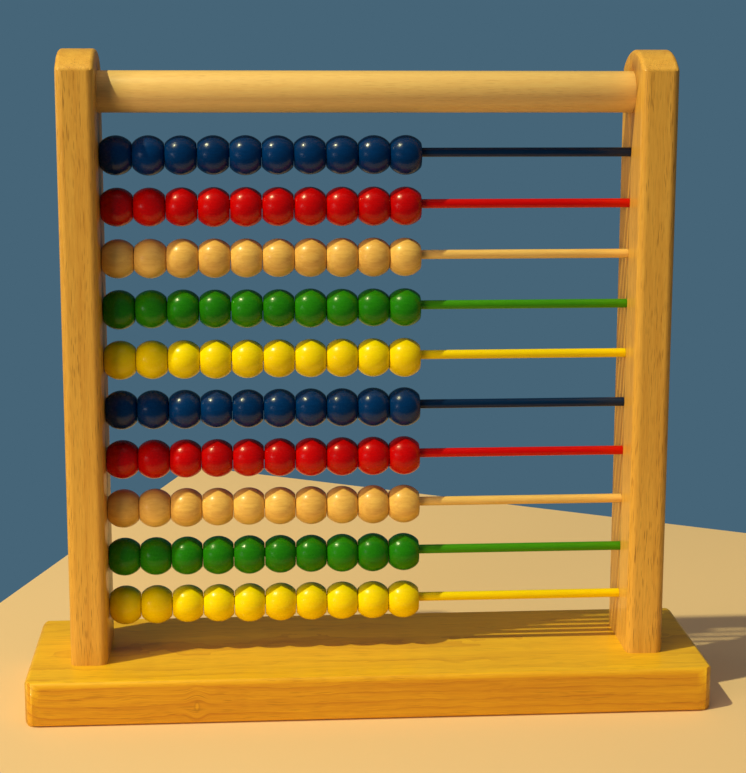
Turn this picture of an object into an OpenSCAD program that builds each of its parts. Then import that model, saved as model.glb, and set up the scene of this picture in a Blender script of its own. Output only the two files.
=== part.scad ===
// Ten-row counting frame: a bead abacus in lacquered wood.
// A board carries two arched posts. A round rail and ten thin rods span the
// posts, and each rod carries ten loose beads that hang on it and slide.
// Rows are numbered from the top. In rows 1 to 9 the beads are split into a
// left and a right group; row n has n beads in its right group, so that any
// total from 0 to 100 can be set. Row 10 is one train of ten.
// Frame: +Z up, front faces -Y, origin on the underside at the middle.

/* [Base board] */
// how far the board stands out past each post, left and right
side_margin = 18.75; // [10:0.25:30]
// how far the board stands out past the posts, front and back
front_margin = 22; // [12:0.5:35]
// thickness of the board
base_t = 20; // [16:0.5:26]
// rounding of the board's upper and lower edges
base_edge_r = 2.5; // [1:0.1:5]
// rounding of the board's four upright corners
base_corner_r = 8; // [3:0.5:14]

/* [Posts] */
// clear width between the posts
post_gap = 234.5; // [200:0.5:270]
// thickness of a post, left to right
post_w = 16.5; // [13:0.1:22]
// depth of a post, front to back
post_d = 44; // [34:0.5:54]
// rise of the arch over the post's shoulders
dome_h = 9.2; // [5:0.1:18]
// rounding of a post's upright edges
post_edge_r = 3.5; // [2.5:0.1:5]
// rounding of the arch's two edges
arch_edge_r = 2; // [0.5:0.1:2.4]

/* [Top rail] */
// diameter of the round rail
rail_d = 18.2; // [14:0.1:22]
// distance from the rail's axis up to the crown of the posts
crown_gap = 18.4; // [15:0.1:26]
// distance from the highest rod up to the rail's axis
rail_gap = 26.5; // [20:0.5:34]
// depth of the rail's blind socket in each post
rail_socket = 8; // [5:0.5:10]
// gap between rail and socket, all round and at each end
rail_fit = 0.05; // [0.02:0.01:0.2]

/* [Rods] */
// diameter of a rod
rod_d = 4.1; // [3:0.1:4.6]
// distance between neighbouring rods
row_pitch = 22.7; // [18.5:0.1:28]
// height of the lowest rod above the board
low_row_h = 22; // [16:0.5:26]
// depth of a rod's blind socket in each post
rod_socket = 8; // [5:0.5:10]
// gap between rod and socket, all round
rod_fit = 0.1; // [0.05:0.01:0.3]
// gap between a rod's end and the bottom of its socket
rod_end_gap = 0.2; // [0.1:0.05:0.5]

/* [Beads] */
// largest diameter of a bead
bead_d = 17.6; // [14:0.1:21.5]
// length of a bead along its rod
bead_l = 13.95; // [11:0.05:17]
// diameter of a bead's flat end, before its edge is rounded
bead_face_d = 10.7; // [9.5:0.1:13]
// diameter of the hole through a bead
bead_bore = 6.5; // [5:0.1:7.5]
// rounding between a bead's round side and its flat end
bead_edge_r = 1.4; // [0.5:0.1:1.8]
// chamfer at each mouth of a bead's hole
bore_chamfer = 0.4; // [0.1:0.1:0.8]
// gap between neighbouring beads, when they are pushed together
bead_gap = 0.15; // [0.05:0.05:0.5]
// gap between the end bead and the post beside it
bead_end_gap = 0.15; // [0.1:0.05:0.5]
// gap left over the rod inside a hanging bead
hang_gap = 0.05; // [0.03:0.01:0.15]

/* [Screws] */
// length of a screw, head included
screw_l = 45; // [35:1:55]
// outer diameter of the thread
screw_d = 4; // [3:0.1:4.6]
// diameter of the countersunk head
screw_head_d = 8; // [6:0.1:9]
// distance between the two screws of one post
screw_pitch = 24; // [16:0.5:28]
// rise of one turn of the thread
thread_pitch = 1.8; // [1.2:0.1:2.5]
// depth of the screw head below the underside of the board
head_sink = 0.6; // [0.2:0.1:2]
// gap between screw and wood
screw_fit = 0.05; // [0.02:0.01:0.2]

/* [Colours] */
// lacquered pale hardwood
clear_wood = "#DDA850";
// blue paint
blue_paint = "#0F3C78";
// red paint
red_paint = "#D81408";
// green paint
green_paint = "#1F8C1C";
// yellow paint
yellow_paint = "#F2D800";
// zinc-plated steel
screw_steel = "#B9BCC0";

/* [Hidden] */
$fn = 96;
e = 0.01;
rows = 10;
per_row = 10;
base_w = post_gap + 2 * post_w + 2 * side_margin;
base_d = post_d + 2 * front_margin;
post_h = low_row_h + (rows - 1) * row_pitch + rail_gap + crown_gap;
post_x = post_gap / 2 + post_w / 2;
dome_r = (post_d * post_d / 4 + dome_h * dome_h) / (2 * dome_h);
rail_z = base_t + post_h - crown_gap;
rail_l = post_gap + 2 * (rail_socket - rail_fit);
rod_l = post_gap + 2 * (rod_socket - rod_end_gap);
hang = (bead_bore - rod_d) / 2 - hang_gap;
bead_step = bead_l + bead_gap;
first_x = -post_gap / 2 + bead_end_gap + bead_l / 2;
head_h = (screw_head_d - screw_d) / 2 + 0.6;
core_d = screw_d * 0.7;
tip_l = screw_d * 1.1;
turns = floor((screw_l - base_t - tip_l) / thread_pitch);

function row_z(k) = base_t + low_row_h + (rows - k) * row_pitch;

// flat plate outline with round corners, centred
module round_rect(w, d, r) {
    square([w - 2 * r, d], center = true);
    square([w, d - 2 * r], center = true);
    for (x = [-1, 1], y = [-1, 1])
        translate([x * (w / 2 - r), y * (d / 2 - r)]) circle(r);
}

// side outline of a post: straight sides under a shallow arch
module post_side() {
    translate([-post_d / 2, 0]) square([post_d, post_h - dome_h]);
    intersection() {
        translate([0, post_h - dome_r]) circle(dome_r);
        translate([-post_d / 2, post_h - dome_h - 1]) square([post_d, dome_h + 2]);
    }
}

// what is taken off the two edges of the arch to round them: the upper part of a ring
// on each side of the post
module arch_easing() {
    intersection() {
        for (a = [0, 180]) translate([0, 0, post_h - dome_r]) rotate([0, 0, a])
            translate([-post_w / 2, 0, 0]) rotate([0, 90, 0]) rotate_extrude() difference() {
                translate([dome_r - arch_edge_r, -1]) square([arch_edge_r + 2, arch_edge_r + 1]);
                translate([dome_r - arch_edge_r, arch_edge_r]) circle(arch_edge_r);
            }
        translate([-post_w, -post_d, post_h - dome_h])
            cube([2 * post_w, 2 * post_d, dome_h + 4]);
    }
}

// a post with its lower end on the board, standing at x = 0;
// s is the side of its inner face: +1 when that face looks to +X
module post(s) {
    inner = s * post_w / 2;
    difference() {
        intersection() {
            linear_extrude(post_h + 1) round_rect(post_w, post_d, post_edge_r);
            rotate([90, 0, 90]) linear_extrude(post_w + 2, center = true) post_side();
        }
        arch_easing();
        translate([inner, 0, rail_z - base_t]) rotate([0, -s * 90, 0])
            translate([0, 0, -1]) cylinder(d = rail_d + 2 * rail_fit, h = rail_socket + 1);
        for (k = [1 : rows])
            translate([inner, 0, row_z(k) - base_t]) rotate([0, -s * 90, 0])
                translate([0, 0, -1]) cylinder(d = rod_d + 2 * rod_fit, h = rod_socket + 1);
        for (y = [-1, 1]) translate([0, y * screw_pitch / 2, -1])
            cylinder(d = screw_d + 2 * screw_fit, h = screw_l - base_t + head_sink + 2);
    }
}

// one countersunk wood screw, head at z = 0 and tip up
module screw() {
    thread_z = screw_l - tip_l - turns * thread_pitch;
    difference() {
        union() {
            cylinder(d = screw_head_d, h = 0.6);
            translate([0, 0, 0.6])
                cylinder(d1 = screw_head_d, d2 = screw_d, h = head_h - 0.6);
            translate([0, 0, head_h - e]) cylinder(d = screw_d, h = thread_z - head_h + e);
            translate([0, 0, thread_z - e])
                cylinder(d = core_d, h = turns * thread_pitch + 2 * e);
            for (i = [0 : turns - 1])
                translate([0, 0, thread_z + (i + 0.25) * thread_pitch]) {
                    cylinder(d1 = core_d, d2 = screw_d, h = thread_pitch * 0.25);
                    translate([0, 0, thread_pitch * 0.25 - e])
                        cylinder(d1 = screw_d, d2 = core_d, h = thread_pitch * 0.25);
                }
            translate([0, 0, screw_l - tip_l]) cylinder(d1 = core_d, d2 = 0.4, h = tip_l);
        }
        for (a = [0, 90]) rotate([0, 0, a]) translate([0, 0, 0.9])
            cube([screw_head_d * 0.55, 1.0, 2.2], center = true);
    }
}

// half outline of a bead: x is the distance from its axis, y runs along it.
// One arc of radius r about [x0, 0] makes the round side, and a small circle
// about [cx, cy] rounds it into the flat end; they meet at [tx, ty].
module bead_outline() {
    h = bead_l / 2;
    d = (bead_d - bead_face_d) / 2;
    r = (d * d + h * h) / (2 * d);
    x0 = bead_d / 2 - r;
    cy = h - bead_edge_r;
    cx = x0 + sqrt((r - bead_edge_r) * (r - bead_edge_r) - cy * cy);
    tx = x0 + (cx - x0) * r / (r - bead_edge_r);
    ty = cy * r / (r - bead_edge_r);
    difference() {
        union() {
            intersection() {
                translate([x0, 0]) circle(r);
                translate([0, -ty]) square([bead_d, 2 * ty]);
            }
            polygon([[0, -h], [cx, -h], [tx, -ty], [tx, ty], [cx, h], [0, h]]);
            for (s = [-1, 1]) translate([cx, s * cy]) circle(bead_edge_r);
        }
        translate([-bead_d, -h - 1]) square([bead_d + bead_bore / 2, 2 * h + 2]);
        for (s = [-1, 1]) polygon([
            [0, s * (h + 1)], [bead_bore / 2 + bore_chamfer + 1, s * (h + 1)],
            [bead_bore / 2 + bore_chamfer, s * h], [bead_bore / 2, s * (h - bore_chamfer)],
            [0, s * (h - bore_chamfer)]]);
    }
}

module bead() rotate([0, 90, 0]) rotate_extrude() bead_outline();

// beads a to b of row k, counted from the left
module beads(k, a, b) {
    for (i = [a : b])
        translate([first_x + (i - 1) * bead_step, 0, row_z(k) - hang]) bead();
}

module rod(k) {
    translate([-rod_l / 2, 0, row_z(k)]) rotate([0, 90, 0]) cylinder(d = rod_d, h = rod_l);
}

module base_board() color(clear_wood) {
    difference() {
        intersection() {
            linear_extrude(base_t) round_rect(base_w, base_d, base_corner_r);
            translate([0, 0, base_t / 2]) rotate([90, 0, 0])
                linear_extrude(base_d + 2, center = true)
                    round_rect(base_w, base_t, base_edge_r);
            translate([0, 0, base_t / 2]) rotate([90, 0, 90])
                linear_extrude(base_w + 2, center = true)
                    round_rect(base_d, base_t, base_edge_r);
        }
        for (x = [-1, 1], y = [-1, 1])
            translate([x * post_x, y * screw_pitch / 2, 0]) {
                translate([0, 0, -1]) cylinder(d = screw_d + 2 * screw_fit, h = base_t + 2);
                translate([0, 0, -1])
                    cylinder(d = screw_head_d + 2 * screw_fit, h = 1 + head_sink + 0.6);
                translate([0, 0, head_sink + 0.6 - e])
                    cylinder(d1 = screw_head_d + 2 * screw_fit, d2 = screw_d + 2 * screw_fit,
                        h = head_h - 0.6 + 2 * screw_fit);
            }
    }
}

module left_post() color(clear_wood) translate([-post_x, 0, base_t]) post(1);

module right_post() color(clear_wood) translate([post_x, 0, base_t]) post(-1);

module top_rail() color(clear_wood)
    translate([-rail_l / 2, 0, rail_z]) rotate([0, 90, 0]) cylinder(d = rail_d, h = rail_l);

module base_screws() color(screw_steel)
    for (x = [-1, 1], y = [-1, 1])
        translate([x * post_x, y * screw_pitch / 2, head_sink]) screw();

module rod_01() color(blue_paint) rod(1);
module rod_02() color(red_paint) rod(2);
module rod_03() color(clear_wood) rod(3);
module rod_04() color(green_paint) rod(4);
module rod_05() color(yellow_paint) rod(5);
module rod_06() color(blue_paint) rod(6);
module rod_07() color(red_paint) rod(7);
module rod_08() color(clear_wood) rod(8);
module rod_09() color(green_paint) rod(9);
module rod_10() color(yellow_paint) rod(10);

module row_01_left() color(blue_paint) beads(1, 1, per_row - 1);
module row_01_right() color(blue_paint) beads(1, per_row - 1 + 1, per_row);
module row_02_left() color(red_paint) beads(2, 1, per_row - 2);
module row_02_right() color(red_paint) beads(2, per_row - 2 + 1, per_row);
module row_03_left() color(clear_wood) beads(3, 1, per_row - 3);
module row_03_right() color(clear_wood) beads(3, per_row - 3 + 1, per_row);
module row_04_left() color(green_paint) beads(4, 1, per_row - 4);
module row_04_right() color(green_paint) beads(4, per_row - 4 + 1, per_row);
module row_05_left() color(yellow_paint) beads(5, 1, per_row - 5);
module row_05_right() color(yellow_paint) beads(5, per_row - 5 + 1, per_row);
module row_06_left() color(blue_paint) beads(6, 1, per_row - 6);
module row_06_right() color(blue_paint) beads(6, per_row - 6 + 1, per_row);
module row_07_left() color(red_paint) beads(7, 1, per_row - 7);
module row_07_right() color(red_paint) beads(7, per_row - 7 + 1, per_row);
module row_08_left() color(clear_wood) beads(8, 1, per_row - 8);
module row_08_right() color(clear_wood) beads(8, per_row - 8 + 1, per_row);
module row_09_left() color(green_paint) beads(9, 1, per_row - 9);
module row_09_right() color(green_paint) beads(9, per_row - 9 + 1, per_row);
module row_10_train() color(yellow_paint) beads(10, 1, per_row);

base_board();
left_post();
right_post();
top_rail();
base_screws();
rod_01();
rod_02();
rod_03();
rod_04();
rod_05();
rod_06();
rod_07();
rod_08();
rod_09();
rod_10();
row_01_left();
row_01_right();
row_02_left();
row_02_right();
row_03_left();
row_03_right();
row_04_left();
row_04_right();
row_05_left();
row_05_right();
row_06_left();
row_06_right();
row_07_left();
row_07_right();
row_08_left();
row_08_right();
row_09_left();
row_09_right();
row_10_train();
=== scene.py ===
import math
import random

import bmesh
import bpy
from mathutils import Matrix, Vector


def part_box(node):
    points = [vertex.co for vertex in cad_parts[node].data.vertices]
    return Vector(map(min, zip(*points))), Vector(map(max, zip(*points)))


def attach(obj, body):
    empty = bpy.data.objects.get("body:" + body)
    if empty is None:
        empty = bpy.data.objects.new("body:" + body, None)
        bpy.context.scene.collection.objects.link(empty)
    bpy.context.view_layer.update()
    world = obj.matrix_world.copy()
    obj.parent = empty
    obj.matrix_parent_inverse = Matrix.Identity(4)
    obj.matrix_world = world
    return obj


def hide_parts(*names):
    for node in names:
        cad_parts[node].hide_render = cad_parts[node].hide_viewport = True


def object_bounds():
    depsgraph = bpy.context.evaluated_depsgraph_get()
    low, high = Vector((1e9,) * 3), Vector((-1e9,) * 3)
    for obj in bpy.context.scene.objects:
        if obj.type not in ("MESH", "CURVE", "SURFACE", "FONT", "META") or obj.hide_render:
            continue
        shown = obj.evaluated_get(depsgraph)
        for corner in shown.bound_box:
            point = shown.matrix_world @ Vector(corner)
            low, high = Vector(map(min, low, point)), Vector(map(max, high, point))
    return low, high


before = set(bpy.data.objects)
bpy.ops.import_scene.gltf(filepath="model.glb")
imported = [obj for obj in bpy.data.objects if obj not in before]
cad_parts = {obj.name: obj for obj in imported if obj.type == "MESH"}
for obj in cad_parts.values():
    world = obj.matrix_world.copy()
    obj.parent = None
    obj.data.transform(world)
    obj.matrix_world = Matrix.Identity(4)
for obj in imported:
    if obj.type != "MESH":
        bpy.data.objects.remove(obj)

# A ten-row counting frame in lacquered pale hardwood with painted beads.
# The CAD nodes give every place. Lengths are metres, unless a name or a comment says mm.

cad_low, cad_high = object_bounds()

MM = 0.001
MERGE = 1e-7        # points closer than this become one
CAD_MERGE = 1e-6    # the same, for the loose triangles of a CAD node

ROWS = 10
BEADS_PER_ROW = 10
ROW_PAINTS = ["blue", "red", "natural", "green", "yellow"] * 2


# ---------------------------------------------------------------- small tools

def srgb(text):
    """A hex colour as the eye sees it, turned linear for the shader."""
    parts = [int(text[i:i + 2], 16) / 255 for i in (1, 3, 5)]
    return [c / 12.92 if c <= 0.04045 else ((c + 0.055) / 1.055) ** 2.4 for c in parts] + [1.0]


def new_material(name):
    """An empty material with its output and main shader."""
    material = bpy.data.materials.new(name)
    material.use_nodes = True
    tree = material.node_tree
    tree.nodes.clear()
    output = tree.nodes.new("ShaderNodeOutputMaterial")
    shader = tree.nodes.new("ShaderNodeBsdfPrincipled")
    tree.links.new(shader.outputs[0], output.inputs["Surface"])
    return material, tree, shader


def add(tree, kind, links=(), values=(), **settings):
    """Adds a shader node with its settings, its linked sockets and its socket values."""
    node = tree.nodes.new("ShaderNode" + kind)
    for key, value in settings.items():
        setattr(node, key, value)
    for socket, value in dict(values).items():
        node.inputs[socket].default_value = value
    for socket, source in dict(links).items():
        tree.links.new(source, node.inputs[socket])
    return node


# the sockets of a Mix node that are in use when it mixes colours
SHARE, FIRST, SECOND, MIXED = 0, 6, 7, 2


def mesh_piece(name, bm, material, smooth_angle=35):
    """A finished piece from a bmesh whose vertices are already in place. Edges that turn
    by more than smooth_angle degrees stay sharp."""
    bmesh.ops.remove_doubles(bm, verts=bm.verts, dist=MERGE)
    bmesh.ops.recalc_face_normals(bm, faces=bm.faces)
    mesh = bpy.data.meshes.new(name)
    bm.to_mesh(mesh)
    bm.free()
    mesh.polygons.foreach_set("use_smooth", [True] * len(mesh.polygons))
    mesh.set_sharp_from_angle(angle=math.radians(smooth_angle))
    mesh.materials.append(material)
    piece = bpy.data.objects.new(name, mesh)
    bpy.context.scene.collection.objects.link(piece)
    return piece


# ---------------------------------------------------------------- camera

CAMERA_PLACE = Vector((-54.6, -805.8, 302.9)) * MM
CAMERA_TURN = 0.0765    # radians to the right of straight ahead
CAMERA_TIP = -0.1819    # radians above level
CAMERA_ROLL = 0.0035    # radians
SENSOR_MM = 36
LENS_MM = 85.06
SHIFT_ACROSS = -0.0132
SHIFT_UP = -0.0372
NEAREST_SEEN = 0.01


def make_camera():
    """A camera a little left of the middle and just above the tops of the posts, which
    looks slightly down at the frame."""
    level = math.cos(CAMERA_TIP)
    ahead = Vector((math.sin(CAMERA_TURN) * level, math.cos(CAMERA_TURN) * level,
                    math.sin(CAMERA_TIP)))
    side = Vector((math.cos(CAMERA_TURN), -math.sin(CAMERA_TURN), 0))
    up = side.cross(ahead)
    side_rolled = side * math.cos(CAMERA_ROLL) + up * math.sin(CAMERA_ROLL)
    up_rolled = up * math.cos(CAMERA_ROLL) - side * math.sin(CAMERA_ROLL)
    data = bpy.data.cameras.new("camera")
    camera = bpy.data.objects.new("camera", data)
    bpy.context.scene.collection.objects.link(camera)
    turned = Matrix((side_rolled, up_rolled, -ahead)).transposed().to_4x4()
    camera.matrix_world = Matrix.Translation(CAMERA_PLACE) @ turned
    data.sensor_width = SENSOR_MM
    data.lens = LENS_MM
    data.shift_x = SHIFT_ACROSS
    data.shift_y = SHIFT_UP
    data.clip_start = NEAREST_SEEN
    bpy.context.scene.camera = camera


make_camera()


# ---------------------------------------------------------------- materials

def in_millimetres(tree, stretch=(1, 1, 1), shift=None):
    """Object coordinates in millimetres, moved by shift and then scaled by stretch."""
    place = add(tree, "VectorMath", {0: add(tree, "TexCoord").outputs["Object"]},
                {1: (1 / MM,) * 3}, operation="MULTIPLY").outputs[0]
    if shift:
        place = add(tree, "VectorMath", {0: place, 1: shift}, operation="ADD").outputs[0]
    return add(tree, "VectorMath", {0: place}, {1: stretch}, operation="MULTIPLY").outputs[0]


def lacquered_wood(name, grain, light, dark, pore, pith, ring_mm, line, wobble_mm=6.0,
                   pore_share=1.0, streak=0.4, fibre_tell=0.45, drawn_out=1.0, upright_painted_shade=0.0,
                   knot=None):
    """Clear-lacquered rubberwood or birch, sawn and sanded: an even honey colour with thin
    growth lines, fine fibre along the grain and short dark open pores, which show as
    dots on end grain.

    grain is the axis the fibre runs along. pith is the centre of the growth rings, which
    are ring_mm apart and wander by up to half of wobble_mm. line, streak, fibre_tell and
    pore_share say how strongly the growth lines, the broad streaks, the fine fibre and
    the pores show, and drawn_out how much longer than usual fibre and pores are.
    upright_painted_shade is a painted shade: how much darker the upright faces are coloured than
    the top, set by which way a face points. knot is a pin knot's X, its Z and its radius, in mm."""
    material, tree, shader = new_material(name)
    along = "XYZ".index(grain)

    def stretched(across, length):
        """Scales for a pattern so many mm across the grain and so many along it."""
        scale = [1 / across] * 3
        scale[along] = 1 / length
        return scale

    # the slow wander of the grain, over 22 mm across it and 90 mm along it
    drift = add(tree, "TexNoise", {"Vector": in_millimetres(tree, stretched(22, 90))},
                {"Scale": 1.0, "Detail": 2.0, "Roughness": 0.5}).outputs["Color"]
    wander = add(tree, "VectorMath", {0: drift}, {1: (0.5, 0.5, 0.5)},
                 operation="SUBTRACT").outputs[0]
    wander = add(tree, "VectorMath", {0: wander}, {1: (wobble_mm,) * 3},
                 operation="MULTIPLY").outputs[0]

    if knot:
        # a pin knot in the front face: the grain parts and closes round it
        knot_x, knot_z, knot_mm = knot
        knot_place = (knot_x, cad_low[1] / MM, knot_z)
        from_knot = add(tree, "VectorMath", {0: in_millimetres(tree)}, {1: knot_place},
                        operation="SUBTRACT").outputs[0]
        flat = add(tree, "VectorMath", {0: from_knot}, {1: (1.0, 0.12, 0.5)},
                   operation="MULTIPLY").outputs[0]
        distance = add(tree, "VectorMath", {0: flat}, operation="LENGTH").outputs["Value"]
        pull = add(tree, "MapRange", {"Value": distance},
                   {"From Min": knot_mm * 0.8, "From Max": knot_mm * 6, "To Min": 0.42,
                    "To Max": 0.0}, interpolation_type="SMOOTHERSTEP").outputs[0]
        closing = add(tree, "VectorMath", {0: from_knot}, {1: (0, 0, -1)},
                      operation="MULTIPLY").outputs[0]
        closing = add(tree, "VectorMath", {0: closing, "Scale": pull},
                      operation="SCALE").outputs[0]
        wander = add(tree, "VectorMath", {0: wander, 1: closing}, operation="ADD").outputs[0]

    # growth rings about the pith: a thin dark line at the end of each year; a wave
    # texture of scale 1 makes 20 rings in 2 pi mm
    ring_place = add(tree, "VectorMath", {0: in_millimetres(tree, shift=wander)}, {1: pith},
                     operation="SUBTRACT").outputs[0]
    rings = add(tree, "TexWave", {"Vector": ring_place},
                {"Scale": 2 * math.pi / 20 / ring_mm, "Distortion": 2.6, "Detail": 3.0,
                 "Detail Scale": 0.5, "Detail Roughness": 0.6}, wave_type="RINGS",
                rings_direction=grain, wave_profile="SAW").outputs["Fac"]
    year_line = add(tree, "Math", {0: rings}, {1: 5.0}, operation="POWER").outputs[0]
    # a line comes and goes along the board
    presence = add(tree, "TexNoise",
                   {"Vector": in_millimetres(tree, stretched(7, 60), wander)},
                   {"Scale": 1.0, "Detail": 2.0}).outputs["Fac"]
    presence = add(tree, "MapRange", {"Value": presence},
                   {"From Min": 0.35, "From Max": 0.65, "To Min": 0.1, "To Max": line}).outputs[0]
    year_line = add(tree, "Math", {0: year_line, 1: presence}, operation="MULTIPLY").outputs[0]

    # fibre 0.5 mm wide and 10 mm long, which is drawn far coarser than the real fibre so
    # that it shows, and streaks 4.5 mm wide that run on for 90 mm
    fibre_size = stretched(0.5, 10 * drawn_out)
    fibre = add(tree, "TexNoise", {"Vector": in_millimetres(tree, fibre_size, wander)},
                {"Scale": 1.0, "Detail": 4.0, "Roughness": 0.7}).outputs["Fac"]
    streaks = add(tree, "TexNoise", {"Vector": in_millimetres(tree, stretched(4.5, 90), wander)},
                  {"Scale": 1.0, "Detail": 3.0, "Roughness": 0.6}).outputs["Fac"]

    def open_pores(across, length, empty):
        """Short dark slits, one to a cell of across by length mm and rather over half as
        big; empty is the share of the cells that has none."""
        place = in_millimetres(tree, stretched(across, length * drawn_out), wander)
        cells = add(tree, "TexVoronoi", {"Vector": place}, {"Scale": 1.0, "Randomness": 1.0})
        slit = add(tree, "MapRange", {"Value": cells.outputs["Distance"]},
                   {"From Min": 0.16, "From Max": 0.40, "To Min": 1.0, "To Max": 0.0},
                   interpolation_type="SMOOTHSTEP").outputs[0]
        pick = add(tree, "SeparateColor", {"Color": cells.outputs["Color"]}).outputs[0]
        pick = add(tree, "MapRange", {"Value": pick},
                   {"From Min": empty, "From Max": 1.0, "To Min": 0.0,
                    "To Max": pore_share}).outputs[0]
        return add(tree, "Math", {0: slit, 1: pick}, operation="MULTIPLY").outputs[0]

    # many fine pores 0.25 mm wide and 3.4 mm long, and fewer coarse ones 0.35 mm wide and
    # 6 mm long, drawn a little wide so that they show; both crowd together in places
    fine_pores = open_pores(0.44, 6.0, empty=0.05)
    coarse_pores = open_pores(0.62, 11.0, empty=0.5)
    crowd = add(tree, "TexNoise", {"Vector": in_millimetres(tree, stretched(5, 40))},
                {"Scale": 1.0, "Detail": 1.0}).outputs["Fac"]
    crowd = add(tree, "MapRange", {"Value": crowd},
                {"From Min": 0.38, "From Max": 0.6, "To Min": 0.35, "To Max": 1.0}).outputs[0]
    pores = add(tree, "Math", {0: fine_pores, 1: coarse_pores}, operation="MAXIMUM").outputs[0]
    pores = add(tree, "Math", {0: pores, 1: crowd}, operation="MULTIPLY").outputs[0]

    fibre_tone = add(tree, "MapRange", {"Value": fibre},
                     {"From Min": 0.3, "From Max": 0.72, "To Min": 0.0,
                      "To Max": fibre_tell}).outputs[0]
    streak_tone = add(tree, "MapRange", {"Value": streaks},
                      {"From Min": 0.35, "From Max": 0.68, "To Min": 0.0,
                       "To Max": streak}).outputs[0]
    tone = add(tree, "Math", {0: fibre_tone, 1: streak_tone}, operation="ADD").outputs[0]
    if upright_painted_shade:
        # painted shade: faces that look up or down keep the plain tone, upright ones are painted
        # darker by which way they point
        facing = add(tree, "SeparateXYZ", {0: add(tree, "TexCoord").outputs["Normal"]}).outputs["Z"]
        level = add(tree, "Math", {0: facing}, operation="ABSOLUTE").outputs[0]
        painted_shade = add(tree, "MapRange", {"Value": level},
                      {"To Min": upright_painted_shade, "To Max": 0.0}).outputs[0]
        tone = add(tree, "Math", {0: tone, 1: painted_shade}, operation="ADD").outputs[0]
    tone = add(tree, "Math", {0: tone, 1: year_line}, operation="ADD", use_clamp=True).outputs[0]
    colour = add(tree, "Mix", {SHARE: tone}, {FIRST: srgb(light), SECOND: srgb(dark)},
                 data_type="RGBA").outputs[MIXED]
    colour = add(tree, "Mix", {SHARE: pores, FIRST: colour}, {SECOND: srgb(pore)},
                 data_type="RGBA").outputs[MIXED]
    if knot:
        # the knot's pale heart, and the thin dark rim round it
        reach = add(tree, "MapRange", {"Value": distance}, {"From Max": knot_mm * 2}).outputs[0]
        heart = add(tree, "MapRange", {"Value": reach},
                    {"From Max": 0.38, "To Min": 0.5, "To Max": 0.0}).outputs[0]
        colour = add(tree, "Mix", {SHARE: heart, FIRST: colour}, {SECOND: srgb(light)},
                     data_type="RGBA").outputs[MIXED]
        rim = add(tree, "ValToRGB", {"Fac": reach})
        rim_stops = rim.color_ramp.elements
        rim_stops[0].position, rim_stops[1].position = 0.30, 0.75
        rim_stops[1].color = (0.0, 0.0, 0.0, 1.0)
        for reach_share, darkness in ((0.44, 0.22), (0.54, 0.1)):
            rim_stops.new(reach_share).color = (darkness, darkness, darkness, 1.0)
        colour = add(tree, "Mix", {SHARE: rim.outputs["Color"], FIRST: colour},
                     {SECOND: srgb(pore)}, data_type="RGBA").outputs[MIXED]
    tree.links.new(colour, shader.inputs["Base Color"])

    # open pores are dents, and the fibre is a slighter one
    relief = add(tree, "Math", {0: fibre_tone}, {1: 0.4}, operation="MULTIPLY").outputs[0]
    relief = add(tree, "Math", {0: relief, 1: pores}, operation="ADD").outputs[0]
    bump = add(tree, "Bump", {"Height": relief}, {"Strength": 0.25, "Distance": 0.00012},
               invert=True).outputs[0]
    tree.links.new(bump, shader.inputs["Normal"])
    gloss = add(tree, "MapRange", {"Value": fibre}, {"To Min": 0.42, "To Max": 0.58}).outputs[0]
    tree.links.new(gloss, shader.inputs["Roughness"])
    shader.inputs["IOR"].default_value = 1.5
    shader.inputs["Specular IOR Level"].default_value = 0.35
    shader.inputs["Coat Weight"].default_value = 0.25
    shader.inputs["Coat Roughness"].default_value = 0.14
    return material


def gloss_paint(name, colour, deep, roughness=0.24, coat=0.12):
    """Dipped gloss paint over turned wood: a clean saturated colour, a highlight broken by
    a slight orange peel, and the wood's grain only just telling through."""
    material, tree, shader = new_material(name)
    # grain 6 mm long and 0.7 mm wide, along the hole; each bead has its own bead_tone
    grain = add(tree, "TexNoise", {"Vector": in_millimetres(tree, (0.16, 1.5, 1.5))},
                {"Scale": 1.0, "Detail": 3.0, "Roughness": 0.6}).outputs["Fac"]
    tone = add(tree, "Attribute", attribute_name="bead_tone").outputs["Fac"]
    share = add(tree, "MapRange", {"Value": grain},
                {"From Min": 0.35, "From Max": 0.75, "To Min": 0.0, "To Max": 0.35}).outputs[0]
    share = add(tree, "Math", {0: share, 1: tone}, operation="ADD", use_clamp=True).outputs[0]
    shade = add(tree, "Mix", {SHARE: share}, {FIRST: srgb(colour), SECOND: srgb(deep)},
                data_type="RGBA").outputs[MIXED]
    tree.links.new(shade, shader.inputs["Base Color"])
    # orange peel with dimples 1.25 mm apart
    peel = add(tree, "TexNoise", {"Vector": in_millimetres(tree)},
               {"Scale": 0.8, "Detail": 3.0, "Roughness": 0.6}).outputs["Fac"]
    height = add(tree, "Math", {0: grain}, {1: 0.5}, operation="MULTIPLY").outputs[0]
    height = add(tree, "Math", {0: height, 1: peel}, operation="ADD").outputs[0]
    bump = add(tree, "Bump", {"Height": height}, {"Strength": 0.3, "Distance": 0.0002}).outputs[0]
    tree.links.new(bump, shader.inputs["Normal"])
    gloss = add(tree, "MapRange", {"Value": peel},
                {"To Min": roughness - 0.05, "To Max": roughness + 0.1}).outputs[0]
    tree.links.new(gloss, shader.inputs["Roughness"])
    shader.inputs["IOR"].default_value = 1.48
    shader.inputs["Specular IOR Level"].default_value = 0.25
    shader.inputs["Coat Weight"].default_value = coat
    shader.inputs["Coat Roughness"].default_value = 0.12
    tree.links.new(bump, shader.inputs["Coat Normal"])
    return material


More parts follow.
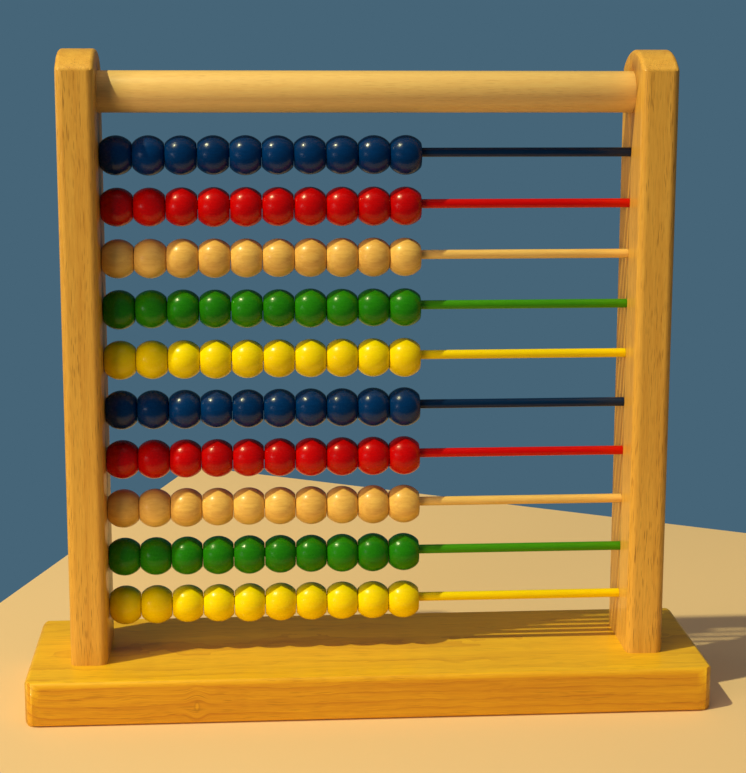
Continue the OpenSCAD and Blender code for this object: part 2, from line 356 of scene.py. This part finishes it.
def clear_turned_wood(name, light, dark):
    """Turned beech-like wood under clear gloss lacquer, for beads and rods: pale, with
    faint lines along X, short fine flecks and a slight change of tone from bead to bead."""
    material, tree, shader = new_material(name)
    tone = add(tree, "Attribute", attribute_name="bead_tone").outputs["Fac"]
    # a jump by tone cuts each bead from its own stretch of wood
    jump = add(tree, "Math", {0: tone}, {1: 900.0}, operation="MULTIPLY").outputs[0]
    apart = add(tree, "CombineXYZ", {"X": jump, "Y": jump}).outputs[0]
    # faint lines 1.4 mm wide and 17 mm long, and flecks 0.36 mm wide and 3 mm long
    lines = add(tree, "TexNoise", {"Vector": in_millimetres(tree, (0.06, 0.7, 0.7), apart)},
                {"Scale": 1.0, "Detail": 4.0, "Roughness": 0.65}).outputs["Fac"]
    fine = add(tree, "TexNoise", {"Vector": in_millimetres(tree, (0.35, 2.8, 2.8), apart)},
               {"Scale": 1.0, "Detail": 3.0, "Roughness": 0.6}).outputs["Fac"]
    share = add(tree, "MapRange", {"Value": lines},
                {"From Min": 0.36, "From Max": 0.70, "To Min": 0.0, "To Max": 0.42}).outputs[0]
    flecks = add(tree, "MapRange", {"Value": fine},
                 {"From Min": 0.45, "From Max": 0.78, "To Min": 0.0, "To Max": 0.22}).outputs[0]
    share = add(tree, "Math", {0: share, 1: flecks}, operation="ADD").outputs[0]
    share = add(tree, "Math", {0: share, 1: tone}, operation="ADD", use_clamp=True).outputs[0]
    shade = add(tree, "Mix", {SHARE: share}, {FIRST: srgb(light), SECOND: srgb(dark)},
                data_type="RGBA").outputs[MIXED]
    tree.links.new(shade, shader.inputs["Base Color"])
    bump = add(tree, "Bump", {"Height": fine}, {"Strength": 0.2, "Distance": 0.0002}).outputs[0]
    tree.links.new(bump, shader.inputs["Normal"])
    shader.inputs["Roughness"].default_value = 0.34
    shader.inputs["IOR"].default_value = 1.5
    shader.inputs["Specular IOR Level"].default_value = 0.35
    shader.inputs["Coat Weight"].default_value = 0.2
    shader.inputs["Coat Roughness"].default_value = 0.14
    return material


def plated_steel(name):
    """Zinc-plated steel screw heads: pale, even metal with a faint cloudy spangle."""
    material, tree, shader = new_material(name)
    # spangle about 1 mm across
    cloud = add(tree, "TexNoise", {"Vector": in_millimetres(tree)},
                {"Scale": 0.9, "Detail": 3.0}).outputs["Fac"]
    shade = add(tree, "Mix", {SHARE: cloud}, {FIRST: srgb("#C9CBCD"), SECOND: srgb("#A9AAA6")},
                data_type="RGBA").outputs[MIXED]
    tree.links.new(shade, shader.inputs["Base Color"])
    gloss = add(tree, "MapRange", {"Value": cloud}, {"To Min": 0.26, "To Max": 0.42}).outputs[0]
    tree.links.new(gloss, shader.inputs["Roughness"])
    shader.inputs["Metallic"].default_value = 1.0
    return material


# the board's upright faces get a painted shade, darker than its top
board_wood = lacquered_wood("board_lacquered_rubberwood", "X", "#FCC824", "#C47C16", "#7C400A",
                            pith=(0, 0, -70), ring_mm=3.6, line=0.4, pore_share=0.45,
                            streak=0.2, fibre_tell=0.26, drawn_out=1.8, upright_painted_shade=0.4,
                            knot=(-77.3, 8.0, 1.15))
post_wood = lacquered_wood("post_lacquered_rubberwood", "Z", "#EFBC52", "#C28228", "#683A10",
                           pith=(-60, 70, 0), ring_mm=4.2, line=0.2, wobble_mm=2.5,
                           pore_share=0.75, streak=0.25, drawn_out=1.25)
rail_wood = lacquered_wood("rail_lacquered_birch", "X", "#F0CC7C", "#DCA65C", "#946026",
                           pith=(0, 40, 240), ring_mm=3.0, line=0.1, wobble_mm=3.0,
                           pore_share=0.3, streak=0.12)
bead_materials = {
    "blue": gloss_paint("blue_gloss_paint", "#01326E", "#001B40"),
    "red": gloss_paint("red_gloss_paint", "#CA0300", "#920100"),
    "natural": clear_turned_wood("clear_lacquered_bead_wood", "#F8CE6C", "#D09440"),
    "green": gloss_paint("green_gloss_paint", "#26860A", "#0E5804"),
    "yellow": gloss_paint("yellow_gloss_paint", "#FCE600", "#ECC200"),
}

# the rods' coat of paint is thinner and a little duller
ROD_ROUGHNESS = 0.30
ROD_COAT = 0.08
rod_materials = {
    "blue": gloss_paint("blue_rod_paint", "#06264E", "#031634", ROD_ROUGHNESS, ROD_COAT),
    "red": gloss_paint("red_rod_paint", "#D40600", "#A00200", ROD_ROUGHNESS, ROD_COAT),
    "natural": clear_turned_wood("clear_lacquered_rod_wood", "#F8D078", "#DCA850"),
    "green": gloss_paint("green_rod_paint", "#42980C", "#2C7006", ROD_ROUGHNESS, ROD_COAT),
    "yellow": gloss_paint("yellow_rod_paint", "#FCE000", "#E8C000", ROD_ROUGHNESS, ROD_COAT),
}
screw_metal = plated_steel("zinc_plated_screw_steel")


# ---------------------------------------------------------------- board and posts

LARGEST_FACE_WINS = 100


def wood_from_cad(name, node, material):
    """A board or post: the CAD's own rounded shape with its holes, joined up and shaded
    so that the flat faces stay flat right up to the rounded edges."""
    bm = bmesh.new()
    bm.from_mesh(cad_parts[node].data)
    bmesh.ops.remove_doubles(bm, verts=bm.verts, dist=CAD_MERGE)
    piece = mesh_piece(name, bm, material, smooth_angle=28)
    flat_faces = piece.modifiers.new("flat_faces", "WEIGHTED_NORMAL")
    flat_faces.keep_sharp = True
    flat_faces.weight = LARGEST_FACE_WINS
    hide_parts(node)
    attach(piece, "frame")


wood_from_cad("board", "base_board", board_wood)
wood_from_cad("post_left", "left_post", post_wood)
wood_from_cad("post_right", "right_post", post_wood)


# ---------------------------------------------------------------- rail and rods

END_EASE = 0.12     # how far a dowel's end is eased, as a share of its radius


def make_dowel(name, node, material, body, segments):
    """A round dowel with eased ends, as long and as thick as its CAD node."""
    low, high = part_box(node)
    radius = (high.z - low.z) / 2
    lying = Matrix.Rotation(math.pi / 2, 4, "Y")
    bm = bmesh.new()
    bmesh.ops.create_cone(bm, cap_ends=True, segments=segments, radius1=radius, radius2=radius,
                          depth=high.x - low.x,
                          matrix=Matrix.Translation((low + high) / 2) @ lying)
    rims = [e for e in bm.edges if abs(e.verts[0].co.x - e.verts[1].co.x) < CAD_MERGE]
    bmesh.ops.bevel(bm, geom=rims, offset=END_EASE * radius, offset_type="OFFSET", segments=2,
                    profile=0.5, affect="EDGES", material=-1)
    piece = mesh_piece(name, bm, material)
    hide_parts(node)
    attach(piece, body)


make_dowel("rail", "top_rail", rail_wood, "frame", segments=96)
for row in range(1, ROWS + 1):
    paint = ROW_PAINTS[row - 1]
    make_dowel(f"rod_{row:02d}_{paint}", f"rod_{row:02d}", rod_materials[paint],
               f"rod_{row:02d}", segments=32)


# ---------------------------------------------------------------- beads

BEAD_LENGTH = 13.95 * MM
BEAD_RADIUS = 8.8 * MM
BORE_RADIUS = 3.25 * MM
FACE_RADIUS = 5.35 * MM     # where the barrel would meet the flat end, were it not eased
EDGE_RADIUS = 1.4 * MM      # of the rounding between barrel and end
MOUTH = 0.4 * MM            # chamfer at each end of the bore
HANG_GAP = 0.05 * MM        # from the rod's top up to the bore's
AROUND = 40                 # faces round a bead
EDGE_STEPS = 4
BARREL_STEPS = 16

# how far chance takes a bead from the common shape, at most
THINNER = 0.035
SHORTER = 0.012
LEANING = math.radians(0.7)
DEEPER_TONE = 0.3


def arc(bm, start, centre, angle, steps):
    """Swings a vertex about centre in the XZ plane and gives the last vertex."""
    made = bmesh.ops.spin(bm, geom=[start], cent=centre, axis=(0, 1, 0), angle=angle, steps=steps)
    return [v for v in made["geom_last"] if isinstance(v, bmesh.types.BMVert)][0]


def bead_shape():
    """One turned bead about the X axis: a barrel, eased flat ends and a wide bore."""
    half = BEAD_LENGTH / 2
    deep = BEAD_RADIUS - FACE_RADIUS
    barrel = (deep ** 2 + half ** 2) / (2 * deep)
    barrel_z = BEAD_RADIUS - barrel
    ease_x = half - EDGE_RADIUS
    ease_z = barrel_z + math.sqrt((barrel - EDGE_RADIUS) ** 2 - ease_x ** 2)
    ease_turn = math.atan2(ease_z - barrel_z, ease_x)
    bm = bmesh.new()
    bore_left = bm.verts.new((-half + MOUTH, 0, BORE_RADIUS))
    mouth_left = bm.verts.new((-half, 0, BORE_RADIUS + MOUTH))
    end_left = bm.verts.new((-half, 0, ease_z))
    bm.edges.new((bore_left, mouth_left))
    bm.edges.new((mouth_left, end_left))
    turn = arc(bm, end_left, (-ease_x, 0, ease_z), ease_turn, EDGE_STEPS)
    turn = arc(bm, turn, (0, 0, barrel_z), math.pi - 2 * ease_turn, BARREL_STEPS)
    end_right = arc(bm, turn, (ease_x, 0, ease_z), ease_turn, EDGE_STEPS)
    mouth_right = bm.verts.new((half, 0, BORE_RADIUS + MOUTH))
    bore_right = bm.verts.new((half - MOUTH, 0, BORE_RADIUS))
    for pair in ((end_right, mouth_right), (mouth_right, bore_right), (bore_right, bore_left)):
        bm.edges.new(pair)
    bmesh.ops.spin(bm, geom=bm.verts[:] + bm.edges[:], cent=(0, 0, 0), axis=(1, 0, 0),
                   angle=2 * math.pi, steps=AROUND, use_merge=True)
    bmesh.ops.remove_doubles(bm, verts=bm.verts, dist=MERGE)
    bmesh.ops.recalc_face_normals(bm, faces=bm.faces)
    mesh = bpy.data.meshes.new("bead_shape")
    bm.to_mesh(mesh)
    bm.free()
    return mesh


CHANCE_SEED = 7
one_bead = bead_shape()
chance = random.Random(CHANCE_SEED)


def make_beads(node, row, count):
    """The beads of one sliding group. Each is a little off size and turned its own way,
    and hangs with the top of its bore just clear of the rod."""
    paint = ROW_PAINTS[row - 1]
    low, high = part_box(node)
    rod_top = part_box(f"rod_{row:02d}")[1].z
    step = (high.x - low.x - BEAD_LENGTH) / max(count - 1, 1)
    bm = bmesh.new()
    tone_layer = bm.verts.layers.float.new("bead_tone")
    for i in range(count):
        girth = 1 - THINNER * chance.random()
        length = 1 - SHORTER * chance.random()
        lean = LEANING * chance.random()
        lean_way = 2 * math.pi * chance.random()
        tone = DEEPER_TONE * chance.random()
        turned = 2 * math.pi * chance.random()
        hang = BORE_RADIUS * girth - HANG_GAP - BEAD_LENGTH / 2 * math.sin(lean)
        centre = Vector((low.x + BEAD_LENGTH / 2 + i * step, 0, rod_top - hang))
        leaning = Matrix.Rotation(lean, 4, (0, math.cos(lean_way), math.sin(lean_way)))
        place = (Matrix.Translation(centre) @ leaning @ Matrix.Rotation(turned, 4, "X")
                 @ Matrix.Diagonal((length, girth, girth, 1)))
        before = len(bm.verts)
        bm.from_mesh(one_bead)
        bm.verts.ensure_lookup_table()
        fresh = bm.verts[before:]
        bmesh.ops.transform(bm, matrix=place, verts=fresh)
        for vert in fresh:
            vert[tone_layer] = tone
    piece = mesh_piece(f"beads_{node}_{paint}", bm, bead_materials[paint], smooth_angle=40)
    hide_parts(node)
    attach(piece, node)


for row in range(1, ROWS):
    make_beads(f"row_{row:02d}_left", row, BEADS_PER_ROW - row)
    make_beads(f"row_{row:02d}_right", row, row)
make_beads("row_10_train", ROWS, BEADS_PER_ROW)


# ---------------------------------------------------------------- screws

# the CAD's own screws keep their shape
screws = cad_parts["base_screws"]
screws.data.materials.clear()
screws.data.materials.append(screw_metal)


# ---------------------------------------------------------------- floor and light

FLOOR_CORNER = Vector((-0.092, 0.430, 0))
LEFT_EDGE = Vector((-0.30, -0.954, 0)) * 1.5
BACK_EDGE = Vector((0.87, -0.49, 0))
FLOOR_FRONT = -0.2


def make_floor():
    """A plain pale tabletop with one far corner behind the frame. Its left and back edges
    run from that corner, and it is cut off straight in front of the frame."""
    material, _, shader = new_material("pale_cream_tabletop")
    shader.inputs["Base Color"].default_value = srgb("#EFCC9E")
    shader.inputs["Roughness"].default_value = 0.8
    bm = bmesh.new()
    bmesh.ops.create_grid(bm, x_segments=1, y_segments=1, size=0.5)
    lay = Matrix((BACK_EDGE, -LEFT_EDGE, (0, 0, 1))).transposed().to_4x4()
    floor_middle = FLOOR_CORNER + (BACK_EDGE + LEFT_EDGE) / 2
    bmesh.ops.transform(bm, matrix=Matrix.Translation(floor_middle) @ lay, verts=bm.verts)
    bmesh.ops.bisect_plane(bm, geom=bm.verts[:] + bm.edges[:] + bm.faces[:],
                           plane_co=(0, FLOOR_FRONT, 0), plane_no=(0, -1, 0), clear_outer=True)
    mesh_piece("floor", bm, material)


LIT_POINT = Vector((0, 0, 0.15))


def area_light(name, place, size, power, colour, glossy=True):
    """A round lamp that faces the middle of the frame; one that isn't glossy lights the
    frame without showing in its highlights."""
    data = bpy.data.lights.new(name, "AREA")
    data.shape, data.size, data.energy, data.color = "DISK", size, power, colour
    lamp = bpy.data.objects.new(name, data)
    place = Vector(place)
    lamp.matrix_world = (Matrix.Translation(place)
                         @ (LIT_POINT - place).to_track_quat("-Z", "Y").to_matrix().to_4x4())
    lamp.visible_glossy = glossy
    bpy.context.scene.collection.objects.link(lamp)


make_floor()
# a small high lamp at the left gives the crisp shadows, two large ones fill them in, a
# low one behind lights the edges, and a small window shows in the gloss
key_place = LIT_POINT + Vector((-0.5012, -0.2256, 0.8354)) * 3.5
window_place = LIT_POINT + Vector((-0.776, -0.613, 0.184)) * 1.2
area_light("key", key_place, size=0.08, power=95, colour=(1.0, 0.95, 0.52))
area_light("side_fill", (-1.7, -1.8, 0.35), size=1.4, power=33, colour=(1.0, 0.72, 0.46),
           glossy=False)
area_light("top_fill", (0.1, -0.1, 1.9), size=1.3, power=7.0, colour=(1.0, 0.78, 0.62),
           glossy=False)
area_light("rim", (-1.5, 0.9, 0.4), size=0.9, power=2.5, colour=(1.0, 0.88, 0.66))
area_light("window", window_place, size=0.14, power=0.5, colour=(0.95, 0.97, 1.0))

# a plain blue-grey backdrop, which lights the frame half as strongly as it looks
world = bpy.data.worlds.new("studio")
world.use_nodes = True
background = world.node_tree.nodes["Background"]
background.inputs["Color"].default_value = srgb("#466578")
seen = add(world.node_tree, "LightPath").outputs["Is Camera Ray"]
strength = add(world.node_tree, "MapRange", {"Value": seen}, {"To Min": 0.5, "To Max": 1.0})
world.node_tree.links.new(strength.outputs[0], background.inputs["Strength"])
bpy.context.scene.world = world
bpy.context.scene.view_settings.view_transform = "Standard"
